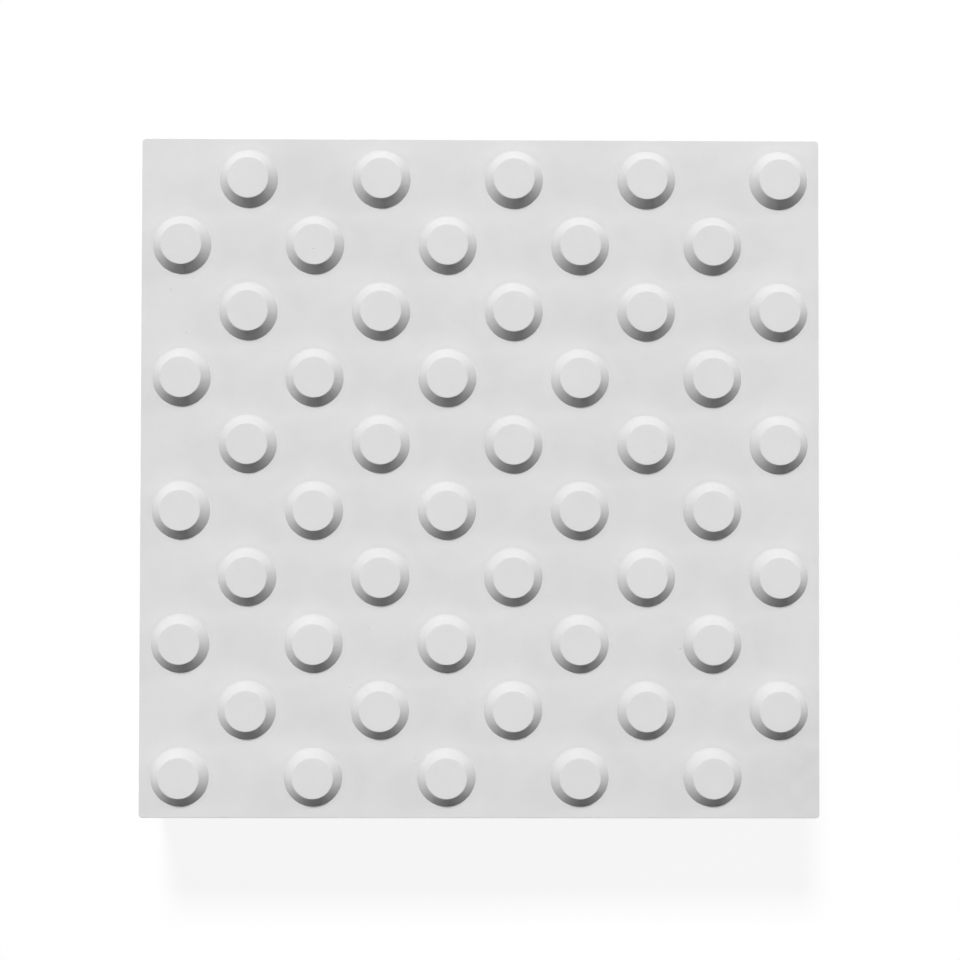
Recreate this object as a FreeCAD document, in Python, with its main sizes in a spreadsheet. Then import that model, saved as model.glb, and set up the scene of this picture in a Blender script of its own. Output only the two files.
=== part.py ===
import FreeCAD, Part
import os
import Sketcher

doc = FreeCAD.newDocument("tactile_paving")

# Driving dimensions in millimetres
driving = (
    ("slab_side", 300.0, "side of the square slab"),
    ("slab_thickness", 60.0, "bed face to walking face"),
    ("corner_radius", 1.7, "upright corners, seen in plan"),
    ("arris_bevel", 0.5, "eased edge round the walking face"),
    ("row_step", 29.35, "one row or column of domes to the next"),
    ("dome_foot_diameter", 25.8, "dome where it leaves the walking face"),
    ("dome_top_diameter", 18.0, "flat top of a dome"),
    ("dome_height", 5.0, "walking face to flat top"),
)
sheet = doc.addObject("Spreadsheet::Sheet", "sizes")
for line, (alias, value, meaning) in enumerate(driving, start=1):
    sheet.set(f"A{line}", alias)
    sheet.set(f"B{line}", str(value))
    sheet.setAlias(f"B{line}", alias)
    sheet.set(f"C{line}", meaning)
doc.recompute()

# As many rows as the flat of the walking face has room for, centred on the slab
flat_side = "(sizes.slab_side - 2 * sizes.arris_bevel)"
rows = f"(floor(({flat_side} - sizes.dome_foot_diameter) / sizes.row_step) + 1)"
first_row = f"(({rows} - 1) / 2 * sizes.row_step)"


def origin_feature(body, role):
    return next(f for f in body.Origin.OriginFeatures if f.Role == role)


def add_sketch(body, name, plane_role):
    sketch = body.newObject("Sketcher::SketchObject", name)
    sketch.AttachmentSupport = [(origin_feature(body, plane_role), "")]
    sketch.MapMode = "FlatFace"
    return sketch


def add_loop(sketch, points):
    # Closed outline of straight lines, in the order of its points
    corners = [FreeCAD.Vector(x, y, 0) for x, y in points]
    ends = corners[1:] + corners[:1]
    lines = [sketch.addGeometry(Part.LineSegment(a, b)) for a, b in zip(corners, ends)]
    for line, following in zip(lines, lines[1:] + lines[:1]):
        sketch.addConstraint(Sketcher.Constraint("Coincident", line, 2, following, 1))
    return lines


def bind(sketch, constraint, expression):
    index = sketch.addConstraint(constraint)
    sketch.setExpression(f"Constraints[{index}]", expression)


def edges_where(shape, test):
    return [f"Edge{n}" for n, edge in enumerate(shape.Edges, start=1) if test(edge)]


def add_block(body):
    # Square plan, drawn from its lower left corner and centred on the origin
    sketch = add_sketch(body, "plan", "XY_Plane")
    half = sheet.slab_side / 2
    near, right, far, left = add_loop(sketch, [(-half, -half), (half, -half), (half, half), (-half, half)])
    for side in (near, far):
        sketch.addConstraint(Sketcher.Constraint("Horizontal", side))
    for side in (right, left):
        sketch.addConstraint(Sketcher.Constraint("Vertical", side))
    sketch.addConstraint(Sketcher.Constraint("Symmetric", near, 1, far, 1, -1, 1))
    sketch.addConstraint(Sketcher.Constraint("Equal", near, right))
    bind(sketch, Sketcher.Constraint("DistanceX", near, 1, near, 2, sheet.slab_side), "sizes.slab_side")

    block = body.newObject("PartDesign::Pad", "block")
    block.Profile = sketch
    block.setExpression("Length", "sizes.slab_thickness")
    doc.recompute()

    middle = sheet.slab_thickness / 2
    upright = edges_where(block.Shape, lambda e: e.BoundBox.ZLength > middle)
    corners_rounded = body.newObject("PartDesign::Fillet", "rounded_corners")
    corners_rounded.Base = (block, upright)
    corners_rounded.setExpression("Radius", "sizes.corner_radius")
    doc.recompute()

    # The arris is eased in one loop round the walking face
    arris = edges_where(corners_rounded.Shape, lambda e: e.BoundBox.ZMin > middle)
    eased = body.newObject("PartDesign::Chamfer", "eased_arris")
    eased.Base = (corners_rounded, arris)
    eased.setExpression("Size", "sizes.arris_bevel")
    doc.recompute()


def add_dome(body, name, place):
    # Half section of one dome, with the sketch's vertical axis as the dome's own axis
    sketch = add_sketch(body, f"{name}_section", "XZ_Plane")
    sketch.setExpression(".AttachmentOffset.Base.x", place)
    sketch.setExpression(".AttachmentOffset.Base.y", "sizes.slab_thickness")
    sketch.setExpression(".AttachmentOffset.Base.z", f"-{place}")

    foot = sheet.dome_foot_diameter / 2
    rim = sheet.dome_top_diameter / 2
    height = sheet.dome_height
    section = [(0, 0), (foot, 0), (rim, height), (0, height)]
    base, flank, flat, axis = add_loop(sketch, section)
    sketch.addConstraint(Sketcher.Constraint("Coincident", base, 1, -1, 1))
    sketch.addConstraint(Sketcher.Constraint("Horizontal", base))
    sketch.addConstraint(Sketcher.Constraint("Horizontal", flat))
    sketch.addConstraint(Sketcher.Constraint("Vertical", axis))
    bind(sketch, Sketcher.Constraint("DistanceX", base, 1, base, 2, foot), "sizes.dome_foot_diameter / 2")
    bind(sketch, Sketcher.Constraint("DistanceX", flat, 2, flat, 1, rim), "sizes.dome_top_diameter / 2")
    bind(sketch, Sketcher.Constraint("DistanceY", axis, 2, axis, 1, height), "sizes.dome_height")

    dome = body.newObject("PartDesign::Revolution", name)
    dome.Profile = sketch
    dome.ReferenceAxis = (sketch, ["V_Axis"])
    dome.Angle = 360
    doc.recompute()
    return dome


def add_lattice(body, name, dome, count):
    # Square lattice of every second row and column, growing from its lower left dome
    lattice = body.newObject("PartDesign::LinearPattern", name)
    lattice.Originals = [dome]
    lattice.Direction = (origin_feature(body, "X_Axis"), [""])
    lattice.Direction2 = (origin_feature(body, "Y_Axis"), [""])
    for suffix in ("", "2"):
        lattice.setExpression(f"Occurrences{suffix}", count)
        lattice.setExpression(f"Length{suffix}", f"({count} - 1) * 2 * sizes.row_step")
    body.Tip = lattice
    doc.recompute()


slab = doc.addObject("PartDesign::Body", "slab")
slab.Label = "tactile_slab"
add_block(slab)

# Two lattices, one set half way between the domes of the other, make the staggered rows
outer_dome = add_dome(slab, "outer_dome", f"-{first_row}")
add_lattice(slab, "outer_lattice", outer_dome, f"ceil({rows} / 2)")
inner_dome = add_dome(slab, "inner_dome", f"(sizes.row_step - {first_row})")
add_lattice(slab, "inner_lattice", inner_dome, f"floor({rows} / 2)")
slab.Placement = FreeCAD.Placement()
doc.recompute()

for item in doc.Objects:
    if "Invalid" in item.State or "Error" in item.State:
        raise RuntimeError(f"{item.Label} failed: {item.State}")
if slab.Shape.isNull() or not slab.Shape.isValid() or len(slab.Shape.Solids) != 1:
    raise RuntimeError(f"{slab.Label} is not one valid solid")

os.makedirs("parts", exist_ok=True)
slab.Shape.exportStep(f"parts/{slab.Label}.step")
box = slab.Shape.BoundBox
print(f"{slab.Label}: {box.XLength:.2f} x {box.YLength:.2f} x {box.ZLength:.2f} mm")
print(f"volume {slab.Shape.Volume:.1f} cubic mm, {len(slab.Shape.Faces)} faces")
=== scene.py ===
import math
import random
from bisect import bisect_right

import bpy
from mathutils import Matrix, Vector, noise
from mathutils.geometry import delaunay_2d_cdt


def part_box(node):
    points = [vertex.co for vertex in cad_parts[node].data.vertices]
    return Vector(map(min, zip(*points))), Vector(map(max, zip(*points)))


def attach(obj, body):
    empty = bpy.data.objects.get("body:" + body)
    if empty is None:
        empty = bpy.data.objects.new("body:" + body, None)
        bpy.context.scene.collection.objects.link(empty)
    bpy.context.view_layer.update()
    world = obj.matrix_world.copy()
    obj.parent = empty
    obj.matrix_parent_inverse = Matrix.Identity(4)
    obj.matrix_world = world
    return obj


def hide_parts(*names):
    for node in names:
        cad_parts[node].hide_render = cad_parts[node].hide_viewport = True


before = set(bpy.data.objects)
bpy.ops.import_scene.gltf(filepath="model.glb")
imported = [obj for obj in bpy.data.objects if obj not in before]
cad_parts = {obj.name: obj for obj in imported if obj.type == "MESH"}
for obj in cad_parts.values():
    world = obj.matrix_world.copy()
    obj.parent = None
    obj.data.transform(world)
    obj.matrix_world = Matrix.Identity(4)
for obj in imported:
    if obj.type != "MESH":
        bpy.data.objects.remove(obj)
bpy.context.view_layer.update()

mm = 0.001
fullTurn = 2 * math.pi
quarterTurn = math.pi / 2

# The slab, one casting. Lengths in millimetres, colours linear, scales of a finish per metre.
slab = {
    "rows": 10,                 # rows and columns of the staggered grid
    "rowStep": 29.35,
    "footRadius": 12.9,
    "topRadius": 9.0,
    "domeHeight": 5.0,
    "footFillet": 0.2,          # where a dome leaves the walking face
    "rimRound": 0.55,           # where its flank meets the flat top
    "footShadeReach": 2.6,            # reach of the painted shade in the crease round a foot
    "footShadeWander": 0.4,          # share by which that painted shade varies
    "ringPoints": 64,           # points round one dome
    "arcSteps": 4,
    "flankSteps": 3,
    "topMargin": 1.0,           # nicks and loose points on a top stay this far inside its edge
    "cornerRadius": 1.7,
    "cornerSteps": 6,
    "arrisRound": 0.22,         # eased edge round the walking face
    "bedRound": 0.35,           # edge round the bed face
    "edgeSteps": 4,
    "edgeWander": 0.2,          # share by which the arris varies
    "wanderLength": 11.0,
    "arrisStrip": 0.1,          # least height of the plain strip under the arris
    "waviness": 0.1,            # gentle unevenness of the whole casting
    "edgeWaviness": 0.02,       # the same, sideways
    "waveLength": 42.0,
    "sideHollows": 0.14,        # shallow hollows that the mould leaves on the sides
    "sideWaveLength": 13.0,
    "bedHollows": 0.24,         # floated unevenness of the bed face
    "bedWaveLength": 9.0,
    "hollowFade": 5.0,          # hollows run out over this length at an edge
    "walkingPits": {"count": 12, "smallest": 0.14, "largest": 0.3, "depth": 0.4},
    "domePits": {"count": 1, "smallest": 0.12, "largest": 0.24, "depth": 0.3},
    "domePitChance": 0.4,
    "domePitReach": 0.7,        # share of a top's radius
    "sidePits": {"count": 260, "smallest": 0.3, "largest": 1.5, "depth": 0.8},
    "bedPits": {"count": 200, "smallest": 0.4, "largest": 2.0, "depth": 0.7},
    "pitDepths": (0.7, 1.3),    # least and most share of a pit's usual depth
    "pitTries": 40,             # places tried for a pit before it is left out
    "pitShape": {               # rings as share of the radius and share of the depth
        "rings": ((1.0, 0.0), (0.72, 0.7), (0.0, 1.0)), "narrowest": 0.7, "lobes": 3, "lobeHeight": 0.12,
        "smallBelow": 0.5, "smallSteps": 8, "largeSteps": 12,
    },
    "nicks": (                  # x, y, radius and depth of the small nicks on the upper side
        (-137.3, 82.5, 0.6, 0.07), (-49.1, 58.6, 0.36, 0.15), (88.4, -75.7, 0.5, 0.34),
        (-29.1, -126.6, 0.48, 0.2), (16.6, -81.5, 0.42, 0.17), (-17.2, 64.9, 0.45, 0.14),
        (-130.1, 63.5, 0.48, 0.15), (-62.2, -100.0, 0.3, 0.2), (-57.4, -93.0, 0.45, 0.2),
        (-49.1, -67.0, 0.45, 0.14), (-73.7, 100.5, 0.4, 0.2), (7.4, 98.0, 0.3, 0.17),
    ),
    "nickGap": 0.15,            # least distance from a nick to the ring of mesh round a foot
    "pitGap": 0.8,              # least distance from one pit to the next
    "faceSpacing": 3.4,         # mesh size on each face
    "topSpacing": 2.6,
    "sideSpacing": 3.0,
    "bedSpacing": 3.6,
    "fillGap": 0.45,            # share of the mesh size kept clear round pits and feet
    "fillJitter": (0.2, 0.8),   # where in its cell a loose point may lie
    "faceMargin": 2.0,          # pits and loose points stay this far from a face's edge
    "sharpAngle": 38.0,         # sharper edges stay crisp, in degrees
    "seed": 11,
    "walkingFinish": {
        "light": (0.722, 0.722, 0.722), "dark": (0.69, 0.69, 0.69), "cloudScale": 26.0,
        "grainScale": 1500.0, "grainShade": 0.06, "grainRelief": 0.02,
        "poreScale": 420.0, "poreShare": 0.03, "poreShade": 0.1, "poreRelief": 0.03,
        "pitShade": 0.15, "smooth": 0.66, "rough": 0.78,
        "steepShade": 0.22,     # painted shade: the flanks of the domes are made slightly darker, which tones down their lit side
        "footShade": 0.085,     # painted shade in the crease round their feet
        "darkPatches": (            # x, y, reach and strength: a broad patch of painted shade at the near right corner, a small rub mark within it
            (150.0, -138.0, 46.0, 0.13), (143.0, -125.0, 10.0, 0.09),
        ),
        "darkPatchScale": 150.0,
    },
    "sideFinish": {
        "light": (0.66, 0.66, 0.654), "dark": (0.535, 0.535, 0.528), "cloudScale": 22.0,
        "grainScale": 1000.0, "grainShade": 0.3, "grainRelief": 0.12,
        "poreScale": 300.0, "poreShare": 0.2, "poreShade": 0.45, "poreRelief": 0.2,
        "pitShade": 0.35, "smooth": 0.74, "rough": 0.88,
    },
    "bedFinish": {
        "light": (0.66, 0.658, 0.65), "dark": (0.55, 0.548, 0.54), "cloudScale": 18.0,
        "grainScale": 800.0, "grainShade": 0.2, "grainRelief": 0.16,
        "poreScale": 230.0, "poreShare": 0.22, "poreShade": 0.4, "poreRelief": 0.2,
        "pitShade": 0.35, "smooth": 0.82, "rough": 0.95,
    },
    "stainAndShade": (0.3, 0.3, 0.297),     # what all shades above darken towards, for real marks and painted shade alike
    "specular": 0.2,
    "diffuseRoughness": 0.2,
}

rng = random.Random(slab["seed"])
noise.seed_set(slab["seed"])        # noise_vector would start from the clock
nodeLow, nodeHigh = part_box("tactile_slab")
half = (nodeHigh.x - nodeLow.x) / 2 / mm
top = (nodeHigh.z - nodeLow.z) / mm
face = top - slab["domeHeight"]
walking, side, bed = range(3)       # material places on the slab

points, faces, faceLooks = [], [], []
steepPoints = {}                    # share of the full slope at a point of a dome, which sets the painted shade of its flank
footPoints = {}                     # amount of painted shade in the crease round the foot of a dome
pitPoints = set()                   # points down inside a pit


def addPoint(x, y, z):
    points.append(Vector((x, y, z)))
    return len(points) - 1


def addFace(look, *corners):
    faces.append(corners)
    faceLooks.append(look)


def addStrip(look, lower, upper):
    # Quads between two closed rings of (point, u, v), seen from outside with the first ring below
    for n in range(len(lower)):
        m = (n + 1) % len(lower)
        addFace(look, lower[n][0], lower[m][0], upper[m][0], upper[n][0])


def squareRing(spacing):
    # Places round the slab's plan with their outward direction, counterclockwise from the near left corner
    straight = half - slab["cornerRadius"]
    sideSteps = round(2 * straight / spacing)
    ring = []
    for turn in range(4):
        angle = (turn - 1) * quarterTurn
        out = Vector((math.cos(angle), math.sin(angle)))
        along = Vector((-out.y, out.x))
        for n in range(sideSteps):
            ring.append((out * half + along * straight * (2 * n / sideSteps - 1), out))
        for n in range(slab["cornerSteps"]):
            swing = angle + quarterTurn * n / slab["cornerSteps"]
            direction = Vector((math.cos(swing), math.sin(swing)))
            ring.append(((out + along) * straight + direction * slab["cornerRadius"], direction))
    return ring


def scatterPits(pits, low, high, blocked):
    # Places for pits as (u, v, radius, depth), mostly small ones, clear of each other and of what is blocked
    made = []
    triesLeft = slab["pitTries"] * pits["count"]
    while len(made) < pits["count"] and triesLeft:
        triesLeft -= 1
        radius = pits["smallest"] * (pits["largest"] / pits["smallest"]) ** (rng.random() ** 2)
        place = Vector((rng.uniform(low[0], high[0]), rng.uniform(low[1], high[1])))
        room = radius + slab["pitGap"]
        if all((place - Vector(other[:2])).length > room + other[2] for other in blocked + made):
            made.append((place.x, place.y, radius, radius * pits["depth"] * rng.uniform(*slab["pitDepths"])))
    return made


def scatterFill(spacing, low, high, blocked):
    # Loose grid of points that carries the unevenness of a face, clear of the blocked circles
    columns = max(1, round((high[0] - low[0]) / spacing))
    lines = max(1, round((high[1] - low[1]) / spacing))
    stepsPerCell = 8            # coarse cells, to find the circles near a point quickly
    cell = stepsPerCell * spacing
    near = {}
    for u, v, radius, *_ in blocked:
        reach = radius + slab["fillGap"] * spacing
        for i in range(int((u - reach - low[0]) // cell), int((u + reach - low[0]) // cell) + 1):
            for j in range(int((v - reach - low[1]) // cell), int((v + reach - low[1]) // cell) + 1):
                near.setdefault((i, j), []).append((u, v, reach))
    fill = []
    for i in range(columns):
        for j in range(lines):
            u = low[0] + (i + rng.uniform(*slab["fillJitter"])) * (high[0] - low[0]) / columns
            v = low[1] + (j + rng.uniform(*slab["fillJitter"])) * (high[1] - low[1]) / lines
            close = near.get((int((u - low[0]) // cell), int((v - low[1]) // cell)), ())
            if all(math.hypot(u - a, v - b) > reach for a, b, reach in close):
                fill.append((u, v))
    return fill


def insideLoop(u, v, loop):
    inside = False
    for (u1, v1), (u2, v2) in zip(loop, loop[1:] + loop[:1]):
        if (v1 > v) != (v2 > v) and u < u1 + (v - v1) / (v2 - v1) * (u2 - u1):
            inside = not inside
    return inside


def addPit(look, u, v, radius, deep, lift, flip):
    # An uneven bowl. Returns its rim as a loop of (point, u, v).
    shape = slab["pitShape"]
    steps = shape["smallSteps"] if radius < shape["smallBelow"] else shape["largeSteps"]
    stretch, swing = rng.uniform(shape["narrowest"], 1.0), rng.uniform(0, math.pi)
    rings = []
    for share, sink in shape["rings"]:
        ring = []
        for n in range(steps if share else 1):
            angle = fullTurn * n / steps
            reach = radius * share * (1 + shape["lobeHeight"] * math.sin(shape["lobes"] * angle + swing))
            a, b = reach * math.cos(angle), reach * stretch * math.sin(angle)
            pu = u + a * math.cos(swing) - b * math.sin(swing)
            pv = v + a * math.sin(swing) + b * math.cos(swing)
            ring.append((addPoint(*lift(pu, pv, deep * sink)), pu, pv))
        rings.append(ring)
    rim, inner, base = ([p[0] for p in ring] for ring in rings)
    pitPoints.update(inner + base)
    for n in range(steps):
        m = (n + 1) % steps
        for corners in ((rim[n], rim[m], inner[m], inner[n]), (inner[n], inner[m], base[0])):
            addFace(look, *(corners[::-1] if flip else corners))
    return rings[0]


def addSheet(look, outline, holes, fill, pits, lift, flip=False, chains=()):
    # One pitted face. Outline and holes are loops of (point, u, v), lift turns u, v and a depth into a place,
    # and chains are rows of (u, v) that edges of the mesh follow.
    numbers, flat, edges, owners = [], [], [], []
    outer, loose = -1, -2

    def addRow(row, owner, closed):
        first = len(flat)
        for number, u, v in row:
            numbers.append(number)
            flat.append(Vector((u, v)))
            owners.append(owner)
        edges.extend((first + n, first + n + 1) for n in range(len(row) - 1))
        if closed:
            edges.append((first + len(row) - 1, first))

    cuts = list(holes)
    for pit in pits:
        cuts.append(addPit(look, *pit, lift, flip))
    addRow(outline, outer, True)
    for n, cut in enumerate(cuts):
        addRow(cut, n, True)
    for u, v in fill:
        addRow([(addPoint(*lift(u, v, 0.0)), u, v)], loose, False)
    for chain in chains:
        addRow([(addPoint(*lift(u, v, 0.0)), u, v) for u, v in chain], loose, False)

    insideOnly, tolerance = 1, 1e-4
    _, _, triangles, sources, _, _ = delaunay_2d_cdt(flat, edges, [], insideOnly, tolerance)
    for triangle in triangles:
        corners = [sources[n][0] for n in triangle]
        owner = owners[corners[0]]
        if owner >= 0 and all(owners[n] == owner for n in corners):
            u, v = (sum(flat[n][axis] for n in corners) / 3 for axis in range(2))
            if insideLoop(u, v, [(a, b) for _, a, b in cuts[owner]]):
                continue
        ends = [numbers[n] for n in corners]
        addFace(look, *(ends[::-1] if flip else ends))


# Section of a dome from its foot to the edge of its flat top, as rings of
# (radius, height, share of the full slope, amount of painted shade in the crease)
slope = math.atan2(slab["domeHeight"], slab["footRadius"] - slab["topRadius"])
footReach = slab["footRadius"] + slab["footFillet"] * math.tan(slope / 2)
topReach = slab["topRadius"] - slab["rimRound"] * math.tan(slope / 2)
arcShares = [n / slab["arcSteps"] for n in range(slab["arcSteps"] + 1)]
footArc, rimArc = [], []
for share in arcShares:
    bend = slope * share
    drop = slab["footFillet"] * (1 - math.cos(bend))
    footArc.append((footReach - slab["footFillet"] * math.sin(bend), drop, share, 1.0))
    drop = slab["rimRound"] * (1 - math.cos(bend))
    rimArc.insert(0, (topReach + slab["rimRound"] * math.sin(bend), slab["domeHeight"] - drop, share, 0.0))
flank = []
for n in range(1, slab["flankSteps"]):
    share = n / slab["flankSteps"]
    radius, height = (a + (b - a) * share for a, b in zip(footArc[-1][:2], rimArc[0][:2]))
    flank.append((radius, height, 1.0, 0.0))
section = footArc + flank + rimArc

domes = []
for i in range(slab["rows"]):
    for j in range(slab["rows"]):
        if (i + j) % 2 == 0:
            domes.append([(n - (slab["rows"] - 1) / 2) * slab["rowStep"] for n in (i, j)])

footLoops, footCircles = [], []
for x, y in domes:
    phase = rng.uniform(0, fullTurn)
    gaps = [math.hypot(u - x, v - y) - radius - slab["nickGap"] for u, v, radius, _ in slab["nicks"]]
    outerReach = min([footReach + slab["footShadeReach"]] + [gap for gap in gaps if gap > footReach])
    outerShade = 1 - (outerReach - footReach) / slab["footShadeReach"]
    footCircles.append((x, y, outerReach))
    rings = []
    for radius, height, steepness, footShading in [(outerReach, 0.0, 0.0, outerShade)] + section:
        ring = []
        for n in range(slab["ringPoints"]):
            angle = phase + fullTurn * n / slab["ringPoints"]
            u, v = x + radius * math.cos(angle), y + radius * math.sin(angle)
            number = addPoint(u, v, face + height)
            ring.append((number, u, v))
            steepPoints[number] = steepness
            # painted shade in the crease, uneven along the ring
            wander = noise.noise(Vector((u, v, 0)) / slab["wanderLength"])
            footPoints[number] = footShading * (1 + slab["footShadeWander"] * wander)
        rings.append(ring)
    for lower, upper in zip(rings, rings[1:]):
        addStrip(walking, lower, upper)
    footLoops.append(rings[0])
    reach, pitReach = topReach - slab["topMargin"], slab["domePitReach"] * topReach
    pits = [nick for nick in slab["nicks"] if math.hypot(nick[0] - x, nick[1] - y) < reach]
    found = scatterPits(slab["domePits"], (x - pitReach, y - pitReach), (x + pitReach, y + pitReach), pits)
    pits += [pit for pit in found if rng.random() < slab["domePitChance"]]
    fill = scatterFill(slab["topSpacing"], (x - reach, y - reach), (x + reach, y + reach), pits)
    fill = [(u, v) for u, v in fill if math.hypot(u - x, v - y) < reach]
    addSheet(walking, rings[-1], [], fill, pits, lambda u, v, depth: (u, v, top - depth))
print(f"domes: {len(domes)}, {len(faces)} faces so far")

# Eased edges, as rings round the plan: the arris down to the top of the sides, and the edge of the bed face
plan = squareRing(slab["sideSpacing"])
bandTop = face - slab["arrisRound"] * (1 + slab["edgeWander"]) - slab["arrisStrip"]
bandFoot = slab["bedRound"]
edgeBends = [quarterTurn * n / slab["edgeSteps"] for n in range(slab["edgeSteps"] + 1)]
arrisRings = [[] for _ in edgeBends]
bandTopRing = []
bedRings = [[] for _ in edgeBends]
for place, out in plan:
    wander = noise.noise(Vector((place.x, place.y, 0)) / slab["wanderLength"])
    ease = slab["arrisRound"] * (1 + slab["edgeWander"] * wander)
    for ring, bend in zip(arrisRings, edgeBends):
        spot = place - out * ease * (1 - math.sin(bend))
        ring.append((addPoint(*spot, face - ease * (1 - math.cos(bend))), *spot))
    bandTopRing.append((addPoint(*place, bandTop), *place))
    for ring, bend in zip(bedRings, edgeBends):
        spot = place - out * slab["bedRound"] * (1 - math.cos(bend))
        ring.append((addPoint(*spot, slab["bedRound"] * (1 - math.sin(bend))), *spot))
for upper, lower in zip(arrisRings, arrisRings[1:]):
    addStrip(walking, lower, upper)
addStrip(side, bandTopRing, arrisRings[-1])
for upper, lower in zip(bedRings, bedRings[1:]):
    addStrip(side, lower, upper)

# Walking face, round the feet of the domes
reach = half - slab["arrisRound"] - slab["faceMargin"]
low, high = (-reach, -reach), (reach, reach)
pits = [nick for nick in slab["nicks"]
        if all(math.hypot(nick[0] - x, nick[1] - y) > outer + nick[2] for x, y, outer in footCircles)]
pits += scatterPits(slab["walkingPits"], low, high, footCircles + pits)
fill = scatterFill(slab["faceSpacing"], low, high, footCircles + pits)
addSheet(walking, arrisRings[0], footLoops, fill, pits, lambda u, v, depth: (u, v, face - depth))
print(f"walking face: {len(pits)} pits and nicks, {len(faces)} faces so far")

# The four sides, unrolled to one band that is cut at the near left corner
lengths = [0.0]
for (a, _), (b, _) in zip(plan, plan[1:] + plan[:1]):
    lengths.append(lengths[-1] + (b - a).length)


def hollowAt(place, amount, waveLength, fromEdge):
    # Inward unevenness, which runs out towards the edges
    fade = min(max(fromEdge / slab["hollowFade"], 0.0), 1.0)
    return amount * fade * (0.5 + 0.5 * noise.noise(place / waveLength))


def liftSide(u, v, depth):
    u = min(max(u, 0.0), lengths[-1] - 1e-6)       # stays on the last stretch
    n = bisect_right(lengths, u) - 1
    share = (u - lengths[n]) / (lengths[n + 1] - lengths[n])
    (a, outA), (b, outB) = plan[n], plan[(n + 1) % len(plan)]
    spot = a.lerp(b, share)
    fromEdge = min(bandTop - v, v - bandFoot)
    depth += hollowAt(Vector((*spot, v)), slab["sideHollows"], slab["sideWaveLength"], fromEdge)
    spot -= outA.lerp(outB, share).normalized() * depth
    return spot.x, spot.y, v


bandRows = round((bandTop - bandFoot) / slab["sideSpacing"])
heights = [bandFoot + (bandTop - bandFoot) * n / bandRows for n in range(1, bandRows)]
seam = [(addPoint(*liftSide(0.0, v, 0.0)), v) for v in heights]
outline = [(bedRings[0][n % len(plan)][0], lengths[n], bandFoot) for n in range(len(plan) + 1)]
outline += [(number, lengths[-1], v) for number, v in seam]
outline += [(bandTopRing[n % len(plan)][0], lengths[n], bandTop) for n in range(len(plan), -1, -1)]
outline += [(number, 0.0, v) for number, v in reversed(seam)]
bends = []
for turn in range(1, 5):
    end = turn * len(plan) // 4
    bends.extend(range(end - slab["cornerSteps"], end + 1))
chains = [[(lengths[n], v) for v in heights] for n in bends if n < len(plan)]
blocked = [(lengths[n], v, slab["pitGap"]) for n in bends for v in heights]
margin, inset = slab["faceMargin"], slab["sideSpacing"] / 2
pits = scatterPits(slab["sidePits"], (margin, bandFoot + margin),
                   (lengths[-1] - margin - slab["cornerRadius"], bandTop - margin), blocked)
fill = scatterFill(slab["sideSpacing"], (inset, bandFoot + inset / 2),
                   (lengths[-1] - inset, bandTop - inset / 2), blocked + pits)
addSheet(side, outline, [], fill, pits, liftSide, chains=chains)
print(f"sides: {len(pits)} pits, {len(faces)} faces so far")


# Bed face, floated by hand while the casting lay face down
def liftBed(u, v, depth):
    fromEdge = half - slab["bedRound"] - max(abs(u), abs(v))
    return u, v, depth + hollowAt(Vector((u, v, 0)), slab["bedHollows"], slab["bedWaveLength"], fromEdge)


reach = half - slab["bedRound"] - slab["faceMargin"]
low, high = (-reach, -reach), (reach, reach)
pits = scatterPits(slab["bedPits"], low, high, [])
fill = scatterFill(slab["bedSpacing"], low, high, pits)
addSheet(bed, bedRings[-1], [], fill, pits, liftBed, flip=True)
print(f"bed face: {len(pits)} pits, {len(faces)} faces so far")

# Unevenness of the whole. It is drawn in by the same amount first, so that it stays inside its box.
centre = Vector((0, 0, top / 2))
extent = Vector((half, half, top / 2))
sway = Vector((slab["edgeWaviness"], slab["edgeWaviness"], slab["waviness"]))
places = []
for point in points:
    drawn = Vector([p - (p - c) / e * slab["waviness"] for p, c, e in zip(point, centre, extent)])
    places.append((drawn + noise.noise_vector(point / slab["waveLength"]) * sway) * mm)

mesh = bpy.data.meshes.new("slab")
mesh.from_pydata(places, [], faces)
mesh.polygons.foreach_set("material_index", faceLooks)
mesh.polygons.foreach_set("use_smooth", [True] * len(faces))
mesh.set_sharp_from_angle(angle=math.radians(slab["sharpAngle"]))
for name, values in (("steep", [steepPoints.get(n, 0.0) for n in range(len(points))]),
                     ("foot", [footPoints.get(n, 0.0) for n in range(len(points))]),
                     ("pit", [float(n in pitPoints) for n in range(len(points))])):
    mesh.attributes.new(name, "FLOAT", "POINT").data.foreach_set("value", values)
mesh.validate()
slabPiece = bpy.data.objects.new("slab", mesh)
bpy.context.scene.collection.objects.link(slabPiece)
evenShade = slabPiece.modifiers.new("evenShade", "WEIGHTED_NORMAL")
evenShade.keep_sharp = True
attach(slabPiece, "root")
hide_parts("tactile_slab")
print(f"slab: {len(mesh.vertices)} points, {sum(len(f) - 2 for f in faces)} triangles")


def socketOf(sockets, name):
    # By number, or the one in use where several share a name
    if isinstance(name, int):
        return sockets[name]
    return next(socket for socket in sockets if socket.enabled and socket.name == name)


def addNode(tree, kind, values=None, **settings):
    node = tree.nodes.new(kind)
    for name, value in settings.items():
        setattr(node, name, value)
    for name, value in (values or {}).items():
        socketOf(node.inputs, name).default_value = value
    return node


def join(tree, source, sourceName, target, targetName):
    tree.links.new(socketOf(source.outputs, sourceName), socketOf(target.inputs, targetName))


def startGroup(name, inputs, outputs):
    group = bpy.data.node_groups.new(name, "ShaderNodeTree")
    for label, kind in inputs:
        group.interface.new_socket(label, in_out="INPUT", socket_type=f"NodeSocket{kind}")
    for label, kind in outputs:
        group.interface.new_socket(label, in_out="OUTPUT", socket_type=f"NodeSocket{kind}")
    return group, group.nodes.new("NodeGroupInput"), group.nodes.new("NodeGroupOutput")


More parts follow.
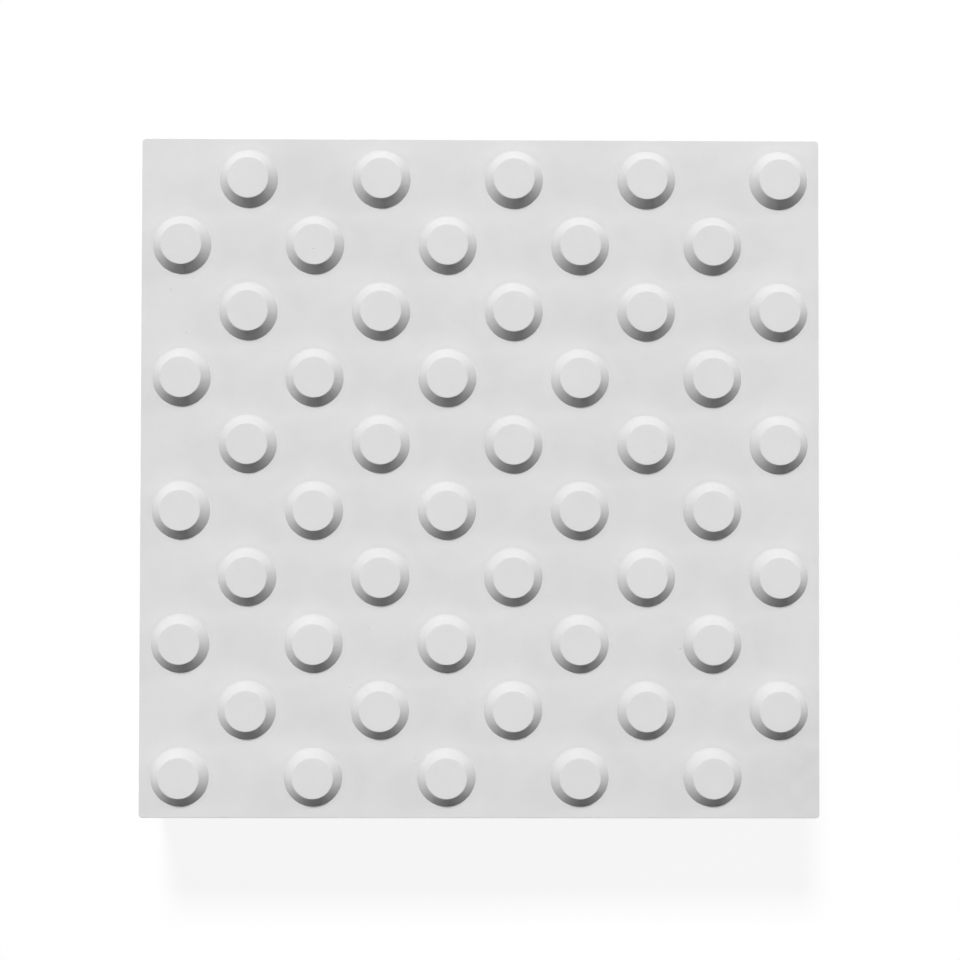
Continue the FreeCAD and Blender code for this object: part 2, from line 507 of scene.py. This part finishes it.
def makeCementClouds():
    # Soft light and dark patches of the cement skin
    group, start, end = startGroup("cementClouds", [("Place", "Vector"), ("Scale", "Float")],
                                   [("Cloud", "Float")])
    finer = addNode(group, "ShaderNodeMath", {1: 5.3}, operation="MULTIPLY")   # scale of the small patches
    broad = addNode(group, "ShaderNodeTexNoise", {"Detail": 3.0, "Roughness": 0.5})
    small = addNode(group, "ShaderNodeTexNoise", {"Detail": 4.0, "Roughness": 0.6})
    blend = addNode(group, "ShaderNodeMix", {"Factor": 0.4})
    spread = addNode(group, "ShaderNodeMapRange", {"From Min": 0.32, "From Max": 0.68})
    join(group, start, "Scale", finer, 0)
    join(group, start, "Scale", broad, "Scale")
    join(group, finer, 0, small, "Scale")
    join(group, start, "Place", broad, "Vector")
    join(group, start, "Place", small, "Vector")
    join(group, broad, "Fac", blend, "A")
    join(group, small, "Fac", blend, "B")
    join(group, blend, "Result", spread, "Value")
    join(group, spread, "Result", end, "Cloud")
    return group


def makeSandGrain():
    # Fine sand under the cement skin: a relief, and a mask of the darker grains
    group, start, end = startGroup("sandGrain", [("Place", "Vector"), ("Scale", "Float")],
                                   [("Height", "Float"), ("Grain", "Float")])
    skin = addNode(group, "ShaderNodeTexNoise", {"Detail": 3.0, "Roughness": 0.65})
    grains = addNode(group, "ShaderNodeTexVoronoi", {"Randomness": 1.0})
    height = addNode(group, "ShaderNodeMath", {1: -0.5}, operation="MULTIPLY_ADD")  # each grain stands up
    dark = addNode(group, "ShaderNodeMapRange", {"From Min": 0.55, "From Max": 0.75})
    for texture in (skin, grains):
        join(group, start, "Place", texture, "Vector")
        join(group, start, "Scale", texture, "Scale")
    join(group, grains, "Distance", height, 0)
    join(group, skin, "Fac", height, 2)
    join(group, skin, "Fac", dark, "Value")
    join(group, height, 0, end, "Height")
    join(group, dark, "Result", end, "Grain")
    return group


def makePores():
    # Air pores too small for the mesh, in a share of the cells, and a mask of the pits that the mesh has
    group, start, end = startGroup("pores", [("Place", "Vector"), ("Scale", "Float"), ("Share", "Float")],
                                   [("Pore", "Float"), ("Pit", "Float")])
    cells = addNode(group, "ShaderNodeTexVoronoi", {"Randomness": 1.0})
    pick = addNode(group, "ShaderNodeSeparateColor")
    chosen = addNode(group, "ShaderNodeMath", operation="LESS_THAN")
    size = addNode(group, "ShaderNodeMapRange", {"To Min": 0.06, "To Max": 0.34})
    shape = addNode(group, "ShaderNodeMapRange", {"To Min": 1.0, "To Max": 0.0},
                    interpolation_type="SMOOTHSTEP")
    pore = addNode(group, "ShaderNodeMath", operation="MULTIPLY")
    pit = addNode(group, "ShaderNodeAttribute", attribute_name="pit")
    join(group, start, "Place", cells, "Vector")
    join(group, start, "Scale", cells, "Scale")
    join(group, cells, "Color", pick, "Color")
    join(group, pick, "Red", chosen, 0)
    join(group, start, "Share", chosen, 1)
    join(group, pick, "Green", size, "Value")
    join(group, cells, "Distance", shape, "Value")
    join(group, size, "Result", shape, "From Max")
    join(group, chosen, 0, pore, 0)
    join(group, shape, "Result", pore, 1)
    join(group, pore, 0, end, "Pore")
    join(group, pit, "Fac", end, "Pit")
    return group


clouds, sand, pores = makeCementClouds(), makeSandGrain(), makePores()


def darken(tree, colour, mask, maskName, strength):
    # The colour so far, mixed towards the stain-and-shade colour where the mask is
    amount = addNode(tree, "ShaderNodeMath", {1: strength}, operation="MULTIPLY")
    mixed = addNode(tree, "ShaderNodeMix", data_type="RGBA")
    socketOf(mixed.inputs, "B").default_value = (*slab["stainAndShade"], 1)
    join(tree, mask, maskName, amount, 0)
    join(tree, amount, 0, mixed, "Factor")
    join(tree, colour, "Result", mixed, "A")
    return mixed


def addDarkPatch(tree, where, x, y, reach, scale):
    # A soft darker patch with an uneven body, used both for a rub mark and for painted shade
    offset = addNode(tree, "ShaderNodeVectorMath", {1: (x * mm, y * mm, face * mm)}, operation="DISTANCE")
    fade = addNode(tree, "ShaderNodeMapRange", {"From Min": reach * mm, "From Max": 0.0})
    broken = addNode(tree, "ShaderNodeTexNoise", {"Scale": scale, "Detail": 3.0})
    body = addNode(tree, "ShaderNodeMapRange", {"From Min": 0.35, "From Max": 0.65, "To Min": 0.6})
    mark = addNode(tree, "ShaderNodeMath", operation="MULTIPLY")
    join(tree, where, "Object", offset, 0)
    join(tree, where, "Object", broken, "Vector")
    join(tree, offset, "Value", fade, "Value")
    join(tree, broken, "Fac", body, "Value")
    join(tree, fade, "Result", mark, 0)
    join(tree, body, "Result", mark, 1)
    return mark


def makeConcrete(name, finish):
    material = bpy.data.materials.new(name)
    material.use_nodes = True
    tree = material.node_tree
    tree.nodes.clear()
    output = addNode(tree, "ShaderNodeOutputMaterial")
    surface = addNode(tree, "ShaderNodeBsdfPrincipled", {
        "Specular IOR Level": slab["specular"], "Diffuse Roughness": slab["diffuseRoughness"],
    })
    where = addNode(tree, "ShaderNodeTexCoord")
    effects = []
    for group, scale in ((clouds, "cloudScale"), (sand, "grainScale"), (pores, "poreScale")):
        effect = addNode(tree, "ShaderNodeGroup", node_tree=group)
        socketOf(effect.inputs, "Scale").default_value = finish[scale]
        join(tree, where, "Object", effect, "Place")
        effects.append(effect)
    cloud, grain, pore = effects
    socketOf(pore.inputs, "Share").default_value = finish["poreShare"]

    colour = addNode(tree, "ShaderNodeMix", data_type="RGBA")
    socketOf(colour.inputs, "A").default_value = (*finish["dark"], 1)
    socketOf(colour.inputs, "B").default_value = (*finish["light"], 1)
    join(tree, cloud, "Cloud", colour, "Factor")
    colour = darken(tree, colour, grain, "Grain", finish["grainShade"])
    colour = darken(tree, colour, pore, "Pore", finish["poreShade"])
    colour = darken(tree, colour, pore, "Pit", finish["pitShade"])
    # painted shade: the steep attribute darkens the flanks, the foot attribute the crease round each foot
    for part in ("steep", "foot"):
        if f"{part}Shade" in finish:
            mask = addNode(tree, "ShaderNodeAttribute", attribute_name=part)
            colour = darken(tree, colour, mask, "Fac", finish[f"{part}Shade"])
    # the first patch is painted shade at the near right corner, the second a small rub mark
    for x, y, reach, strength in finish.get("darkPatches", ()):
        mark = addDarkPatch(tree, where, x, y, reach, finish["darkPatchScale"])
        colour = darken(tree, colour, mark, 0, strength)
    join(tree, colour, "Result", surface, "Base Color")

    rough = addNode(tree, "ShaderNodeMapRange", {"To Min": finish["rough"], "To Max": finish["smooth"]})
    join(tree, cloud, "Cloud", rough, "Value")
    join(tree, rough, "Result", surface, "Roughness")

    grainHeight = addNode(tree, "ShaderNodeMath", {1: finish["grainRelief"]}, operation="MULTIPLY")
    height = addNode(tree, "ShaderNodeMath", {1: -finish["poreRelief"]}, operation="MULTIPLY_ADD")
    relief = addNode(tree, "ShaderNodeBump", {"Distance": mm})
    join(tree, grain, "Height", grainHeight, 0)
    join(tree, pore, "Pore", height, 0)
    join(tree, grainHeight, 0, height, 2)
    join(tree, height, 0, relief, "Height")
    join(tree, relief, "Normal", surface, "Normal")
    join(tree, surface, "BSDF", output, "Surface")
    return material


for name in ("walking", "side", "bed"):
    mesh.materials.append(makeConcrete(f"{name}Concrete", slab[f"{name}Finish"]))
print(f"materials: {len(mesh.materials)}")

# Camera, lamps and floor. Metres and degrees. Softboxes are turned from +Y towards -X, and levels
# that add up to about 1 render a colour as it is written.
studio = {
    "cameraPlace": (-0.0099, -0.0206, 0.942),
    "cameraTurn": (1.27, -0.638, 0.115),
    "lens": 74.89,
    "nearClip": 0.01,
    "softboxes": {
        "mainSoftbox": {"turn": 9.0, "rise": 50.5, "distance": 8.5, "size": 1.5, "level": 0.93},
        "leftSoftbox": {"turn": 90.0, "rise": 12.0, "distance": 6.0, "size": 1.5, "level": 0.045},
        "rightSoftbox": {"turn": -70.0, "rise": 12.0, "distance": 6.0, "size": 1.5, "level": 0.05},
    },
    "ambient": 0.01,
    "floorSize": 60.0,
    "floorColour": (0.8, 0.8, 0.8),
    "floorGlow": 0.5,           # lit table: what the floor gives back even in a shadow
    "contactShadow": 0.5,       # how much of the floor's own shading the camera sees, right at the slab
    "contactReach": 0.009,
    "floorShadow": 0.1,         # and further out
    "shadowFrom": 0.2,          # where that starts to fade
    "shadowTo": 1.0,
}

camera = bpy.data.objects.new("camera", bpy.data.cameras.new("camera"))
camera.location = studio["cameraPlace"]
camera.rotation_euler = [math.radians(turn) for turn in studio["cameraTurn"]]
camera.data.lens = studio["lens"]
camera.data.clip_start = studio["nearClip"]
bpy.context.scene.collection.objects.link(camera)
bpy.context.scene.camera = camera

for name, softbox in studio["softboxes"].items():
    turn, rise = math.radians(softbox["turn"]), math.radians(softbox["rise"])
    towards = Vector((-math.sin(turn) * math.cos(rise), math.cos(turn) * math.cos(rise), math.sin(rise)))
    lampData = bpy.data.lights.new(name, "AREA")
    lampData.shape = "SQUARE"
    lampData.size = softbox["size"]
    lampData.energy = softbox["level"] * (math.pi * softbox["distance"]) ** 2 / math.sin(rise)
    lamp = bpy.data.objects.new(name, lampData)
    lamp.location = Vector((0, 0, face * mm)) + towards * softbox["distance"]
    lamp.rotation_euler = towards.to_track_quat("Z", "Y").to_euler()
    bpy.context.scene.collection.objects.link(lamp)


def addSeenDirectly(tree):
    # 1 for rays straight from the camera and for what mirrors and glass show
    path = addNode(tree, "ShaderNodeLightPath")
    sharp = addNode(tree, "ShaderNodeMath", operation="MAXIMUM")
    seen = addNode(tree, "ShaderNodeMath", operation="MAXIMUM")
    join(tree, path, "Is Camera Ray", sharp, 0)
    join(tree, path, "Is Glossy Ray", sharp, 1)
    join(tree, sharp, 0, seen, 0)
    join(tree, path, "Is Transmission Ray", seen, 1)
    return seen


def addShadowShare(tree):
    # Share of the floor's shading that shows, by the distance from the slab's foot
    where = addNode(tree, "ShaderNodeTexCoord")
    mirrored = addNode(tree, "ShaderNodeVectorMath", operation="ABSOLUTE")
    beyond = addNode(tree, "ShaderNodeVectorMath", {1: (half * mm, half * mm, 0)}, operation="SUBTRACT")
    outside = addNode(tree, "ShaderNodeVectorMath", operation="MAXIMUM")
    distance = addNode(tree, "ShaderNodeVectorMath", operation="LENGTH")
    near = addNode(tree, "ShaderNodeMapRange", {
        "From Max": studio["contactReach"],
        "To Min": studio["contactShadow"], "To Max": studio["floorShadow"],
    }, interpolation_type="SMOOTHSTEP")
    fade = addNode(tree, "ShaderNodeMapRange", {
        "From Min": studio["shadowFrom"], "From Max": studio["shadowTo"], "To Min": 1.0, "To Max": 0.0,
    }, interpolation_type="SMOOTHSTEP")
    share = addNode(tree, "ShaderNodeMath", operation="MULTIPLY")
    join(tree, where, "Object", mirrored, 0)
    join(tree, mirrored, "Vector", beyond, 0)
    join(tree, beyond, "Vector", outside, 0)
    join(tree, outside, "Vector", distance, 0)
    join(tree, distance, "Value", near, "Value")
    join(tree, distance, "Value", fade, "Value")
    join(tree, near, "Result", share, 0)
    join(tree, fade, "Result", share, 1)
    return share


world = bpy.data.worlds.new("studio")
world.use_nodes = True
tree = world.node_tree
tree.nodes.clear()
output = addNode(tree, "ShaderNodeOutputWorld")
backdrop = addNode(tree, "ShaderNodeBackground", {"Color": (1, 1, 1, 1)})
level = addNode(tree, "ShaderNodeMapRange", {"To Min": studio["ambient"], "To Max": 1.0})
join(tree, addSeenDirectly(tree), 0, level, "Value")
join(tree, level, "Result", backdrop, "Strength")
join(tree, backdrop, "Background", output, "Surface")
bpy.context.scene.world = world

reach = studio["floorSize"] / 2
floorMesh = bpy.data.meshes.new("floor")
floorMesh.from_pydata([(-reach, -reach, 0), (reach, -reach, 0), (reach, reach, 0), (-reach, reach, 0)],
                      [], [(0, 1, 2, 3)])
floor = bpy.data.objects.new("floor", floorMesh)
bpy.context.scene.collection.objects.link(floor)
paleFloor = bpy.data.materials.new("paleFloor")
paleFloor.use_nodes = True
tree = paleFloor.node_tree
tree.nodes.clear()
output = addNode(tree, "ShaderNodeOutputMaterial")
pale = addNode(tree, "ShaderNodeBsdfDiffuse", {"Color": (*studio["floorColour"], 1)})
white = addNode(tree, "ShaderNodeEmission", {"Color": (1, 1, 1, 1)})
whiteShaded = addNode(tree, "ShaderNodeBsdfDiffuse", {"Color": (1, 1, 1, 1)})
table = addNode(tree, "ShaderNodeMixShader", {0: studio["floorGlow"]})
seenFloor = addNode(tree, "ShaderNodeMixShader")
shown = addNode(tree, "ShaderNodeMixShader")
join(tree, pale, "BSDF", table, 1)
join(tree, white, "Emission", table, 2)
join(tree, addShadowShare(tree), 0, seenFloor, 0)
join(tree, white, "Emission", seenFloor, 1)
join(tree, whiteShaded, "BSDF", seenFloor, 2)
join(tree, addSeenDirectly(tree), 0, shown, 0)
join(tree, table, 0, shown, 1)
join(tree, seenFloor, 0, shown, 2)
join(tree, shown, 0, output, "Surface")
floorMesh.materials.append(paleFloor)
bpy.context.scene.view_settings.view_transform = "Standard"
print("studio: camera, lamps and floor")
